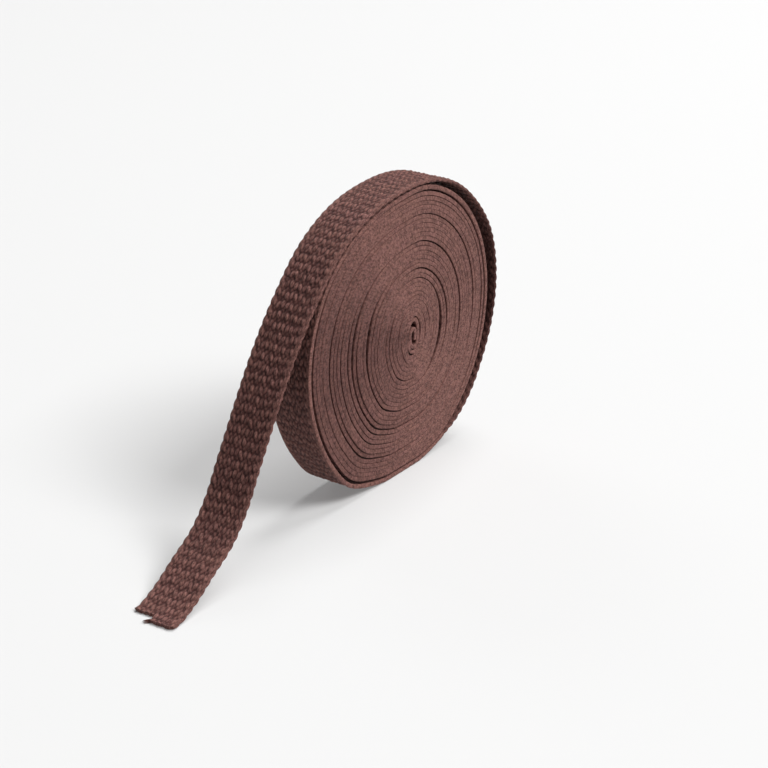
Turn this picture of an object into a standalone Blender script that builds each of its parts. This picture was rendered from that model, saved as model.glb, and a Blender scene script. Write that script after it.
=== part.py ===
"""Roll of woven roller shutter strap, standing on edge with its free end on the floor.

Metres, +Z up. The roll's axis runs along Y, its open face looks toward -Y and the free
end hangs toward -X. The origin is on the floor under the middle of the whole part.

Two solids are made. wound_roll holds every turn up to the place where the last one lifts
off, low on the right. loose_end is the strap from there on: it stands off the right side,
crosses the top, leaves the roll at the upper left and slopes down to its cut tip.
"""

import math
from collections import namedtuple

import bmesh
import bpy
import numpy as np

# Strap
STRAP_WIDTH = 0.014
STRAP_THICKNESS = 0.00135

# Roll, whose radii and places below are given as shares of this radius
ROLL_RADIUS = 0.0436
FLAT_SPOT_DROP = 0.972

# Clear space between the two solids where one lies on the other
PIECE_GAP = 0.00035

# Where the last turn lifts off the roll, and how wide the step it leaves there is
LIFT_ANGLE = -62.0
STEP_ANGLE = 0.5

# Oval heart of the winding: its place from the roll's centre and its half sizes
CORE_X = 0.115
CORE_Z = -0.017
CORE_HALF_WIDTH = 0.075
CORE_HALF_HEIGHT = 0.120
CORE_HOLLOW_SHARE = 0.55
CORE_HOLLOW_SINK = 0.0030

# The heart's shift fades toward the rim with this power of the way out
CENTRING_POWER = 2.2

# Rings nearer the rim than this share the step that the lifted turn leaves
STEPPED_SHARE = 0.9

# Free end: sideways drift of its tip, and how much shorter the back half is cut
TIP_DRIFT = -0.0050
TIP_STEP = 0.0027

# Mesh steps
ROLL_COLUMNS = 80
STATION_SPACING = 0.0038
POLAR_STEP = 8.0

Bearing = namedtuple("Bearing", "angle radius")
PathPoint = namedtuple("PathPoint", "x z")
Groove = namedtuple("Groove", "share half_width depth land_outside")

# Outline of the wound turns, counter-clockwise from the step where the last turn lifts
ROLL_OUTLINE = (
    Bearing(-62, 0.968),
    Bearing(-35, 0.974),
    Bearing(0, 0.988),
    Bearing(30, 1.004),
    Bearing(60, 0.998),
    Bearing(76, 0.990),
    Bearing(92, 0.961),
    Bearing(106, 0.957),
    Bearing(125, 0.972),
    Bearing(145, 0.986),
    Bearing(180, 0.993),
    Bearing(206, 0.993),
    Bearing(220, 1.008),
    Bearing(236, 1.034),
    Bearing(249, 1.004),
    Bearing(262, 0.987),
    Bearing(278, 0.987),
    Bearing(290, 0.999),
    Bearing(298, 1.010),
)

# Outer surface of the lifted last turn, up to where it leaves the roll
LAST_TURN = (
    Bearing(-62, 1.012),
    Bearing(-54, 1.038),
    Bearing(-40, 1.058),
    Bearing(-28, 1.053),
    Bearing(-10, 1.074),
    Bearing(10, 1.098),
    Bearing(25, 1.105),
    Bearing(40, 1.085),
    Bearing(60, 1.065),
    Bearing(72, 1.044),
    Bearing(84, 1.012),
    Bearing(96, 0.995),
    Bearing(110, 0.998),
    Bearing(126, 1.009),
    Bearing(138, 1.025),
)

# Outer surface of the free end, from the roll's centre down to the tip on the floor
FREE_END = (
    PathPoint(-0.920, 0.510),
    PathPoint(-1.110, 0.270),
    PathPoint(-1.280, 0.020),
    PathPoint(-1.420, -0.196),
    PathPoint(-1.532, -0.364),
    PathPoint(-1.643, -0.530),
    PathPoint(-1.790, -0.682),
    PathPoint(-2.000, -0.800),
    PathPoint(-2.210, -0.908),
    PathPoint(-2.320, -0.943),
    PathPoint(-2.410, -0.943),
)

# Open gaps between groups of turns, seen as rings in the roll's face. A share runs from
# the heart's oval to the rim, and the land is how deep the turns outside the gap lie.
FACE_GROOVES = (
    Groove(0.263, 0.015, 0.0014, 0.0001),
    Groove(0.440, 0.011, 0.0010, 0.0003),
    Groove(0.590, 0.011, 0.0010, 0.0001),
    Groove(0.790, 0.010, 0.0009, 0.0003),
    Groove(0.957, 0.010, 0.0014, 0.0000),
)
CORE_LAND = 0.0002

# Finish shared by both solids: matt mauve-brown polyester
STRAP_COLOR = (0.200, 0.115, 0.100, 1.0)
STRAP_ROUGHNESS = 0.85


def clear_scene():
    """Remove every object that the scene holds."""
    for scene_object in list(bpy.data.objects):
        bpy.data.objects.remove(scene_object, do_unlink=True)


def smooth_value(knots, values, at):
    """Read a smooth curve through the values at rising knots, by cubic pieces."""
    knots = np.asarray(knots, dtype=float)
    values = np.asarray(values, dtype=float)
    slopes = np.gradient(values, knots)
    piece = int(np.clip(np.searchsorted(knots, at) - 1, 0, len(knots) - 2))
    span = knots[piece + 1] - knots[piece]
    t = (at - knots[piece]) / span
    start_weight = 2 * t**3 - 3 * t**2 + 1
    end_weight = 1 - start_weight
    start_slope_weight = t**3 - 2 * t**2 + t
    end_slope_weight = t**3 - t**2
    return float(
        start_weight * values[piece]
        + end_weight * values[piece + 1]
        + span * start_slope_weight * slopes[piece]
        + span * end_slope_weight * slopes[piece + 1]
    )


def bearing_radius(rows, angle):
    """Radius in metres of an outline given as bearings."""
    angles = [row.angle for row in rows]
    radii = [row.radius for row in rows]
    return ROLL_RADIUS * smooth_value(angles, radii, angle)


def polar_point(radius, angle):
    """Point in the roll's plane, from its centre."""
    turn = math.radians(angle)
    return np.array([radius * math.cos(turn), radius * math.sin(turn)])


def rim_point(angle, stepped):
    """Point of the wound outline, cut level at the flat spot the roll stands on.

    An outline that isn't stepped gives back, over one round, what the last turn adds.
    """
    radius = bearing_radius(ROLL_OUTLINE, angle)
    if not stepped:
        growth = ROLL_OUTLINE[-1].radius - ROLL_OUTLINE[0].radius
        radius -= ROLL_RADIUS * growth * (angle - LIFT_ANGLE) / 360
    x, z = polar_point(radius, angle)
    return np.array([x, max(z, -FLAT_SPOT_DROP * ROLL_RADIUS)])


def core_point(angle):
    """Point of the oval heart of the winding."""
    turn = math.radians(angle)
    x = CORE_X + CORE_HALF_WIDTH * math.cos(turn)
    z = CORE_Z + CORE_HALF_HEIGHT * math.sin(turn)
    return ROLL_RADIUS * np.array([x, z])


def turn_point(share, angle):
    """Point of the turn that lies this share of the way from the heart to the rim."""
    centre = ROLL_RADIUS * np.array([CORE_X, CORE_Z])
    inner = core_point(angle) - centre
    outer = rim_point(angle, share > STEPPED_SHARE)
    return centre * (1 - share**CENTRING_POWER) + inner * (1 - share) + outer * share


def face_profile():
    """Rings of the roll's face, from the heart outward, as share and sink."""
    rings = [(0.0, CORE_LAND)]
    land = CORE_LAND
    for groove in FACE_GROOVES:
        rings.append((groove.share - groove.half_width, land))
        rings.append((groove.share, groove.depth + groove.land_outside))
        rings.append((groove.share + groove.half_width, groove.land_outside))
        land = groove.land_outside
    rings.append((1.0, 0.0))
    return rings


def add_ring(mesh, points, y):
    """Add one ring of vertices at depth y."""
    return [mesh.verts.new((x, y, z)) for x, z in points]


def join_rings(mesh, first, second):
    """Close the band between two rings with quads."""
    count = len(first)
    for index in range(count):
        after = (index + 1) % count
        mesh.faces.new((first[index], first[after], second[after], second[index]))


def build_roll():
    """The wound turns as one solid, its face grooved where groups of turns part."""
    angles = np.linspace(LIFT_ANGLE, LIFT_ANGLE + 360.0 - STEP_ANGLE, ROLL_COLUMNS)
    centre = ROLL_RADIUS * np.array([CORE_X, CORE_Z])
    hollow = [centre + CORE_HOLLOW_SHARE * (core_point(angle) - centre) for angle in angles]
    mesh = bmesh.new()
    outer_rings = []
    for side in (-1, 1):
        face_y = side * STRAP_WIDTH / 2
        hollow_y = face_y - side * CORE_HOLLOW_SINK
        ring = add_ring(mesh, hollow, hollow_y)
        mesh.faces.new(ring)
        for share, sink in face_profile():
            points = [turn_point(share, angle) for angle in angles]
            wider = add_ring(mesh, points, face_y - side * sink)
            join_rings(mesh, ring, wider)
            ring = wider
        outer_rings.append(ring)
    join_rings(mesh, outer_rings[0], outer_rings[1])
    return mesh


def last_turn_radius(angle):
    """Outer radius of the last turn, never nearer the roll than lying on it."""
    lying = bearing_radius(ROLL_OUTLINE, angle) + PIECE_GAP + STRAP_THICKNESS
    return max(bearing_radius(LAST_TURN, angle), lying)


def loose_route():
    """Evenly spaced points along the middle of the loose strap's outer surface."""
    start = LIFT_ANGLE + STEP_ANGLE
    steps = np.arange(start, LAST_TURN[-1].angle, POLAR_STEP)
    points = [polar_point(last_turn_radius(angle), angle) for angle in steps]
    points += [ROLL_RADIUS * np.array([row.x, row.z]) for row in FREE_END]
    points = np.array(points)
    chords = np.linalg.norm(np.diff(points, axis=0), axis=1)
    knots = np.concatenate(([0.0], np.cumsum(chords)))
    stations = int(round(knots[-1] / STATION_SPACING))
    places = np.linspace(0.0, knots[-1], stations + 1)
    places = np.insert(places, -1, knots[-1] - TIP_STEP)
    x, z = [[smooth_value(knots, line, at) for at in places] for line in points.T]
    leaving = knots[len(steps)]
    drift = np.clip((places - leaving) / (knots[-1] - leaving), 0.0, 1.0) ** 2
    return np.stack([x, TIP_DRIFT * drift, z], axis=1)


def strap_directions(route):
    """Unit vectors out of the strap's surface and across it, at every point."""
    along = np.gradient(route, axis=0)
    along /= np.linalg.norm(along, axis=1)[:, None]
    outward = np.stack([along[:, 2], 0 * along[:, 1], -along[:, 0]], axis=1)
    outward /= np.linalg.norm(outward, axis=1)[:, None]
    return outward, np.cross(along, outward)


def add_stations(mesh, points, across):
    """Rows of vertices across the strap: back edge, middle and front edge."""
    offsets = (STRAP_WIDTH / 2, 0.0, -STRAP_WIDTH / 2)
    floor = -FLAT_SPOT_DROP * ROLL_RADIUS
    rows = []
    for point, direction in zip(points, across):
        places = [point + offset * direction for offset in offsets]
        rows.append([mesh.verts.new((x, y, max(z, floor))) for x, y, z in places])
    return rows


def build_loose_end():
    """The loose strap as one sheet, its back half cut shorter at the tip."""
    route = loose_route()
    outward, across = strap_directions(route)
    mesh = bmesh.new()
    top = add_stations(mesh, route, across)
    low = add_stations(mesh, route - STRAP_THICKNESS * outward, across)
    cells = {(row, half) for row in range(len(route) - 1) for half in (0, 1)}
    cells.discard((len(route) - 2, 0))
    for row, half in sorted(cells):
        corners = ((row, half), (row, half + 1), (row + 1, half + 1), (row + 1, half))
        beyond = ((row - 1, half), (row, half + 1), (row + 1, half), (row, half - 1))
        mesh.faces.new([top[i][j] for i, j in corners])
        mesh.faces.new([low[i][j] for i, j in reversed(corners)])
        for index, neighbour in enumerate(beyond):
            if neighbour not in cells:
                i, j = corners[index]
                k, m = corners[(index + 1) % 4]
                mesh.faces.new((top[i][j], top[k][m], low[k][m], low[i][j]))
    loose = [vertex for vertex in mesh.verts if not vertex.link_faces]
    bmesh.ops.delete(mesh, geom=loose, context="VERTS")
    return mesh


def strap_material(name):
    """Matt woven polyester in the strap's colour."""
    material = bpy.data.materials.new(name)
    material.use_nodes = True
    shader = material.node_tree.nodes["Principled BSDF"]
    shader.inputs["Base Color"].default_value = STRAP_COLOR
    shader.inputs["Roughness"].default_value = STRAP_ROUGHNESS
    shader.inputs["Metallic"].default_value = 0.0
    return material


def make_node(name, solid, shift):
    """Turn a solid into a named object standing in the part's own frame."""
    bmesh.ops.recalc_face_normals(solid, faces=solid.faces)
    bmesh.ops.translate(solid, verts=solid.verts, vec=shift)
    mesh = bpy.data.meshes.new(name)
    solid.to_mesh(mesh)
    solid.free()
    mesh.materials.append(strap_material(name + "_weave"))
    node = bpy.data.objects.new(name, mesh)
    bpy.context.scene.collection.objects.link(node)
    return node


def standing_shift(solids):
    """Move that brings the floor to zero and the part's middle over the origin."""
    points = np.array([vertex.co[:] for solid in solids for vertex in solid.verts])
    low, high = points.min(axis=0), points.max(axis=0)
    middle = (low + high) / 2
    return (-middle[0], -middle[1], -low[2])


def main():
    """Build both solids of the roll."""
    clear_scene()
    solids = {"wound_roll": build_roll(), "loose_end": build_loose_end()}
    shift = standing_shift(solids.values())
    for name, solid in solids.items():
        make_node(name, solid, shift)


main()
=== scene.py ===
"""Roll of woven roller shutter strap, dressed over its construction solids.

Metres, +Z up, in the part's own frame. The strap is one length: it starts folded in the
heart of the roll, winds outward counter-clockwise as seen from the front, lifts off low on
the right, crosses the top and slopes down to its cut tip on the floor. One route carries
all of it, and the weave's relief is laid along that route, stretch by stretch.
"""

import logging
import math
from dataclasses import dataclass, field, replace
from enum import Enum
from typing import NamedTuple

import bpy
import numpy as np
from mathutils import Matrix, Vector


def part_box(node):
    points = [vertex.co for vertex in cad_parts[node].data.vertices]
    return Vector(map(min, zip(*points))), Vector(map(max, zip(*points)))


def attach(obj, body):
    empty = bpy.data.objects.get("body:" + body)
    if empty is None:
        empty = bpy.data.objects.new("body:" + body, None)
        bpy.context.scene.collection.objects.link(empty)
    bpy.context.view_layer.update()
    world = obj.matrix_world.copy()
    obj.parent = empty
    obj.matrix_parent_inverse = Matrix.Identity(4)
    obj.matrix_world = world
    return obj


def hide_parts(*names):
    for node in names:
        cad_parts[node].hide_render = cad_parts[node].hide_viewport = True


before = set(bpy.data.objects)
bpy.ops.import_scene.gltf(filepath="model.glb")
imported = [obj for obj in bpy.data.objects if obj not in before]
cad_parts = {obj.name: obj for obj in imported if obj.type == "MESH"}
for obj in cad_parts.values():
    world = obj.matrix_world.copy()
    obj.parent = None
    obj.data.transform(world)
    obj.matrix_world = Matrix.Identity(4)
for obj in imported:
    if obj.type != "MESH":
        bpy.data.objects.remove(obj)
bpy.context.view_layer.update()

PLACE_ATTRIBUTE = "strap_place"
# Holds the weave's height with painted shade multiplied in; the finish paints shade by it.
HEIGHT_AND_SHADE_ATTRIBUTE = "weave_height_and_shade"
BODY = "root"
MILLIMETRE = 0.001
WHITE = (1.0, 1.0, 1.0, 1.0)
BLACK = (0.0, 0.0, 0.0, 1.0)

Color = tuple[float, float, float, float]

log = logging.getLogger("strap_roll")


class Bearing(NamedTuple):
    """A direction from the roll's centre in degrees, and a radius as a share of the roll's."""

    angle: float
    radius: float


class PathPoint(NamedTuple):
    """A point in the roll's plane, as shares of the roll's radius from its centre."""

    x: float
    z: float


class HeartPoint(NamedTuple):
    """A point of the folded start of the strap, in millimetres from the heart's middle."""

    x: float
    z: float


class RingGap(NamedTuple):
    """An open ring between turns.

    reach is its distance from the heart's middle, as a share of the roll's radius. bearing
    and spread say where it shows, in degrees, and width and sink are in millimetres.
    """

    reach: float
    bearing: float
    spread: float
    width: float
    sink: float


class OpenPlace(NamedTuple):
    """Room under the outermost turn: a bearing in degrees and a width in millimetres."""

    bearing: float
    width: float


class Shade(NamedTuple):
    """Painted shade on the yarn round one place: how far it spreads, and how much of the height it
    takes.
    """

    spread: float
    loss: float


NO_SHADE = Shade(spread=0.042, loss=0.0)


class StrapPlaces(NamedTuple):
    """Distances along the strap of the places that matter to its looks."""

    last_lap: float
    loose: float
    right_side: float
    slope: float
    bend: float
    tip: float


class WoundTurns(NamedTuple):
    """Points of the wound turns, and how the strap lies at each.

    pressed is its thickness, looseness goes from 0 to 1, and last_lap is the number of the
    point at which the outermost turn begins.
    """

    points: np.ndarray
    pressed: np.ndarray
    looseness: np.ndarray
    last_lap: int


class Face(Enum):
    """The two broad faces of the strap."""

    OUTER = 1
    INNER = -1


class Detail(Enum):
    """Which of its broad faces a stretch of strap shows."""

    EDGES_ONLY = "edges_only"
    OUTER_FACE = "outer_face"
    BOTH_FACES = "both_faces"


class Blend(Enum):
    """How two colours are mixed."""

    MIX = "MIX"
    MULTIPLY = "MULTIPLY"


def smooth_values(knots: np.ndarray, values: np.ndarray, places: np.ndarray) -> np.ndarray:
    """Read a smooth curve through values at rising knots, by cubic pieces.

    Args:
        knots: rising places of the known values.
        values: the known values.
        places: where to read the curve.

    Returns:
        The curve's value at each place.
    """
    knots = np.asarray(knots, dtype=float)
    values = np.asarray(values, dtype=float)
    slopes = np.gradient(values, knots)
    piece = np.clip(np.searchsorted(knots, places) - 1, 0, len(knots) - 2)
    span = knots[piece + 1] - knots[piece]
    t = (places - knots[piece]) / span
    start_weight = 2 * t**3 - 3 * t**2 + 1
    return (
        start_weight * values[piece]
        + (1 - start_weight) * values[piece + 1]
        + span * (t**3 - 2 * t**2 + t) * slopes[piece]
        + span * (t**3 - t**2) * slopes[piece + 1]
    )


def soft_step(places: np.ndarray) -> np.ndarray:
    """Rise smoothly from 0 to 1 as places goes from 0 to 1."""
    t = np.clip(places, 0.0, 1.0)
    return t * t * (3 - 2 * t)


def lengths_along(points: np.ndarray) -> np.ndarray:
    """Distance of every point from the first one, along the line through them."""
    steps = np.linalg.norm(np.diff(points, axis=0), axis=1)
    return np.concatenate(([0.0], np.cumsum(steps)))


def mark_places(mesh: bpy.types.Mesh, places: np.ndarray, heights: np.ndarray) -> None:
    """Store on each vertex where it lies on the strap, for the finish to read.

    Args:
        mesh: the mesh to mark.
        places: distances along, across and below the outer surface, in metres.
        heights: height of the weave, from 0 deep between the grains to 1 on a crown, lowered where
            shade is painted; the finish paints shade by it.
    """
    attribute = mesh.attributes.new(PLACE_ATTRIBUTE, "FLOAT_VECTOR", "POINT")
    attribute.data.foreach_set("vector", (places / MILLIMETRE).astype(np.float32).ravel())
    attribute = mesh.attributes.new(HEIGHT_AND_SHADE_ATTRIBUTE, "FLOAT", "POINT")
    attribute.data.foreach_set("value", heights.astype(np.float32).ravel())


def turned(angle: np.ndarray, bearing: np.ndarray | float) -> np.ndarray:
    """Smallest angle between two bearings, in degrees."""
    return np.abs((angle - bearing + 180.0) % 360.0 - 180.0)


@dataclass
class Route:
    """Dense line of the strap's outer surface at mid width, with its thickness there."""

    points: np.ndarray
    thickness: np.ndarray
    looseness: np.ndarray
    lengths: np.ndarray = field(init=False)
    half_step: float = 0.0004

    def __post_init__(self) -> None:
        """Measure the line."""
        self.lengths = lengths_along(self.points)

    def at(self, places: np.ndarray) -> np.ndarray:
        """Points of the route at distances along the strap."""
        return np.stack([np.interp(places, self.lengths, line) for line in self.points.T], axis=1)

    def thickness_at(self, places: np.ndarray) -> np.ndarray:
        """The strap's thickness at distances along it."""
        return np.interp(places, self.lengths, self.thickness)

    def looseness_at(self, places: np.ndarray) -> np.ndarray:
        """How loosely the turns lie round each place, from 0 to 1."""
        return np.interp(places, self.lengths, self.looseness)

    def frames(self, places: np.ndarray) -> tuple[np.ndarray, np.ndarray, np.ndarray, np.ndarray]:
        """Read the strap's own directions.

        Args:
            places: distances along the strap.

        Returns:
            The points, and the unit directions forward, outward and toward the back edge.
        """
        forward = self.at(places + self.half_step) - self.at(places - self.half_step)
        forward /= np.linalg.norm(forward, axis=1)[:, None]
        outward = np.stack([forward[:, 2], np.zeros(len(forward)), -forward[:, 0]], axis=1)
        outward /= np.linalg.norm(outward, axis=1)[:, None]
        return self.at(places), forward, outward, np.cross(forward, outward)


@dataclass
class Packing:
    """How turns and gaps share the room between the heart and the outline.

    Each row belongs to one bearing from the heart's middle, and each column of widths to
    one ring gap.
    """

    bearing: np.ndarray
    heart: np.ndarray
    pitch: np.ndarray
    widths: np.ndarray

    def seen(self, unwrapped: np.ndarray | float) -> np.ndarray | float:
        """Bring unwrapped bearings into the turn that the rows cover."""
        return (unwrapped - self.bearing[0]) % 360.0 + self.bearing[0]

    def at(self, unwrapped: np.ndarray) -> tuple[np.ndarray, np.ndarray, np.ndarray]:
        """Read the shares at unwrapped bearings.

        Args:
            unwrapped: bearings from the heart's middle, in degrees.

        Returns:
            The heart's reach, the pitch of the turns, and the width of every gap.
        """
        seen = self.seen(unwrapped)
        widths = [np.interp(seen, self.bearing, column) for column in self.widths.T]
        heart = np.interp(seen, self.bearing, self.heart)
        return heart, np.interp(seen, self.bearing, self.pitch), np.stack(widths, axis=1)


@dataclass
class Winding:
    """The way the strap runs, from the heart of the roll to its tip on the floor.

    Radii and places are shares of the roll's radius, and angles are degrees from +X. The
    outline is seen from the roll's centre, and the ring gaps from the heart's middle.
    Thicknesses, steps along the strap and shifts along the axis are in metres.
    widest_scale is how much the ring gaps may widen to fill spare room, loosest_share the
    share of the radius that they take where turns lie fully loose, and crossing_spread the
    angle over which the strap steps across one. to_right_side and slope_to_tip say where
    shade is painted on the loose strap.
    """

    centre: Vector
    radius: float = 0.0436
    flat_spot_drop: float = 0.972
    lift_angle: float = -62.0
    step_angle: float = 0.5
    core_x: float = 0.115
    core_z: float = -0.017
    core_half_width: float = 0.083
    core_half_height: float = 0.128
    turns: float = 28.4
    piece_gap: float = 0.00006
    strap_thickness: float = 0.00135
    tightest_thickness: float = 0.00098
    loosest_thickness: float = 0.00147
    heart_thickness: float = 0.00122
    widest_scale: float = 2.8
    loosest_share: float = 0.10
    crossing_spread: float = 120.0
    closing_power: int = 6
    sink_laps: float = 0.6
    tip_drift: float = -0.0050
    tip_step: float = 0.0027
    polar_step: float = 8.0
    reading_step: float = 0.5
    line_step: float = 0.0002
    heart_lead: float = 20.0
    heart_lead_points: int = 3
    joint_length: float = 0.006
    to_right_side: float = 66.0
    slope_to_tip: float = 0.052
    settling: float = 150.0
    edge_wander: float = 0.00009
    wander_step: float = 40.0
    seed: int = 11
    outline: tuple[Bearing, ...] = (
        Bearing(-62, 0.968),
        Bearing(-35, 0.974),
        Bearing(0, 0.988),
        Bearing(30, 1.004),
        Bearing(60, 1.003),
        Bearing(76, 0.995),
        Bearing(92, 0.961),
        Bearing(106, 0.957),
        Bearing(125, 0.972),
        Bearing(145, 0.986),
        Bearing(180, 0.993),
        Bearing(206, 0.993),
        Bearing(220, 1.008),
        Bearing(236, 1.034),
        Bearing(249, 1.004),
        Bearing(262, 0.987),
        Bearing(278, 0.987),
        Bearing(290, 0.999),
        Bearing(298, 1.010),
    )
    last_turn: tuple[Bearing, ...] = (
        Bearing(-62, 1.012),
        Bearing(-54, 1.038),
        Bearing(-40, 1.058),
        Bearing(-28, 1.060),
        Bearing(-10, 1.086),
        Bearing(10, 1.112),
        Bearing(25, 1.119),
        Bearing(40, 1.098),
        Bearing(60, 1.070),
        Bearing(72, 1.040),
        Bearing(84, 1.008),
        Bearing(96, 0.995),
        Bearing(110, 0.998),
        Bearing(126, 1.009),
        Bearing(138, 1.025),
    )
    free_end: tuple[PathPoint, ...] = (
        PathPoint(-0.920, 0.510),
        PathPoint(-1.110, 0.270),
        PathPoint(-1.280, 0.020),
        PathPoint(-1.420, -0.196),
        PathPoint(-1.532, -0.364),
        PathPoint(-1.643, -0.530),
        PathPoint(-1.790, -0.682),
        PathPoint(-2.000, -0.800),
        PathPoint(-2.210, -0.908),
        PathPoint(-2.320, -0.942),
        PathPoint(-2.410, -0.941),
    )
    heart: tuple[HeartPoint, ...] = (
        HeartPoint(1.25, -2.0),
        HeartPoint(1.40, -1.2),
        HeartPoint(1.45, 0.1),
        HeartPoint(1.05, 1.4),
        HeartPoint(0.00, 2.2),
        HeartPoint(-1.25, 1.9),
        HeartPoint(-2.05, 0.8),
        HeartPoint(-2.35, -0.6),
        HeartPoint(-2.20, -2.2),
        HeartPoint(-1.55, -3.7),
        HeartPoint(-0.45, -4.5),
        HeartPoint(0.80, -4.6),
        HeartPoint(2.00, -3.8),
        HeartPoint(2.60, -2.3),
        HeartPoint(2.75, -0.3),
        HeartPoint(2.60, 1.7),
        HeartPoint(2.05, 3.6),
        HeartPoint(0.95, 4.8),
        HeartPoint(-0.50, 5.0),
        HeartPoint(-1.90, 4.3),
    )
    heart_bearing: float = 150.0
    gaps: tuple[RingGap, ...] = (
        RingGap(0.136, 248, 18, 0.75, 0.20),
        RingGap(0.310, -5, 70, 0.72, 0.35),
        RingGap(0.345, 20, 45, 0.22, 0.10),
        RingGap(0.420, 50, 72, 0.42, 0.22),
        RingGap(0.560, 45, 72, 0.38, 0.22),
        RingGap(0.745, 40, 60, 0.26, 0.15),
        RingGap(0.801, 5, 60, 0.34, 0.18),
        RingGap(0.300, 215, 55, 0.36, 0.10),
        RingGap(0.497, 195, 60, 0.62, 0.30),
        RingGap(0.660, 203, 55, 0.60, 0.30),
        RingGap(0.704, 203, 50, 0.42, 0.20),
        RingGap(0.785, 200, 50, 0.36, 0.20),
        RingGap(0.868, 208, 60, 0.50, 0.28),
    )
    last_gap: tuple[OpenPlace, ...] = (
        OpenPlace(-68, 0.00),
        OpenPlace(-40, 0.60),
        OpenPlace(-10, 1.05),
        OpenPlace(35, 1.10),
        OpenPlace(65, 0.80),
        OpenPlace(90, 0.45),
        OpenPlace(115, 0.15),
        OpenPlace(145, 0.05),
        OpenPlace(165, 0.45),
        OpenPlace(190, 0.90),
        OpenPlace(225, 0.95),
        OpenPlace(260, 0.70),
        OpenPlace(292, 0.60),
    )

    def core_centre(self) -> np.ndarray:
        """Middle of the heart, from the roll's centre."""
        return self.radius * np.array([self.core_x, self.core_z])

    def rim(self) -> tuple[np.ndarray, np.ndarray]:
        """The outline that the outermost turn follows, cut level at the flat spot.

        Returns:
            Bearings from the heart's middle in degrees, rising from the lifting place, and
            points in the roll's plane, from its centre.
        """
        steps = int((360.0 - self.step_angle) / self.reading_step)
        angle = self.lift_angle + self.reading_step * np.arange(steps + 1)
        radius = smooth_values(*np.array(self.outline).T, angle)
        turn = np.radians(angle)
        z = np.maximum(radius * np.sin(turn), -self.flat_spot_drop)
        points = self.radius * np.stack([radius * np.cos(turn), z], axis=1)
        from_heart = points - self.core_centre()
        bearing = np.degrees(np.unwrap(np.arctan2(from_heart[:, 1], from_heart[:, 0])))
        return bearing, points

    def room_under_last(self, bearing: np.ndarray) -> np.ndarray:
        """Room under the outermost turn at bearings from the heart's middle."""
        return np.interp(bearing, *np.array(self.last_gap).T) * MILLIMETRE

    def heart_reach(self, bearing: np.ndarray) -> np.ndarray:
        """Measure the heart.

        Args:
            bearing: bearings from the heart's middle, in degrees.

        Returns:
            Distance from the heart's middle to its outline at each bearing.
        """
        turn = np.radians(bearing)
        across = np.cos(turn) / self.core_half_width
        upward = np.sin(turn) / self.core_half_height
        return self.radius / np.hypot(across, upward)

    def pack(self, start: float) -> Packing:
        """Share out the room between the heart and the outline.

        Where there is more room than the turns need, the ring gaps take it up. Where there
        is less, the turns are pressed thinner.

        Args:
            start: unwrapped bearing at which the first full turn begins.

        Returns:
            The shares at every bearing of the outline.
        """
        bearing, rim = self.rim()
        heart = self.heart_reach(bearing)
        to_rim = np.linalg.norm(rim - self.core_centre(), axis=1)
        room = to_rim - heart - self.room_under_last(bearing)
        laps = (bearing - start) / 360.0
        _, shown_at, spread, width, _ = np.array(self.gaps).T
        away = turned(bearing[:, None], shown_at) / spread
        widths = width * MILLIMETRE * np.exp(-(away**2))
        spare = room - laps * self.strap_thickness
        scale = np.clip(spare / widths.sum(axis=1), 1.0, self.widest_scale)
        widths *= scale[:, None]
        pitch = (room - widths.sum(axis=1)) / laps
        closing = ((bearing - bearing[0]) / 360.0) ** self.closing_power
        pitch += (pitch[0] - pitch[-1]) * closing
        return Packing(bearing, heart, pitch, widths)

    def crossing(self, index: int, packing: Packing, start: float) -> float:
        """Find where the strap passes from the inside of a ring gap to its outside.

        Args:
            index: which ring gap.
            packing: how the room is shared.
            start: unwrapped bearing at which the first full turn begins.

        Returns:
            An unwrapped bearing, half a turn away from where the gap shows.
        """
        gap = self.gaps[index]
        seen = packing.seen(gap.bearing)
        heart, pitch, widths = packing.at(np.array([seen]))
        inside = np.array([other.reach < gap.reach for other in self.gaps])
        reach = gap.reach * self.radius - heart[0]
        reach -= widths[0, inside].sum() + 0.5 * widths[0, index]
        first = (seen - start) / 360.0 % 1.0
        lap = first + round(reach / pitch[0] - first)
        return start + 360.0 * (lap + 0.5)

    def wander(self, unwrapped: np.ndarray, start: float, lift: float) -> np.ndarray:
        """Shift the turns a little along the axis, by seeded draws joined smoothly.

        Args:
            unwrapped: unwrapped bearings of the points.
            start: unwrapped bearing at which the first full turn begins.
            lift: bearing of the lifting place.

        Returns:
            The shift at each bearing.
        """
        step = self.wander_step
        knots = np.arange(start - step, lift + 360 + 2 * step, step)
        draws = np.random.default_rng(self.seed)
        return smooth_values(knots, draws.normal(0.0, self.edge_wander, len(knots)), unwrapped)

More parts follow.
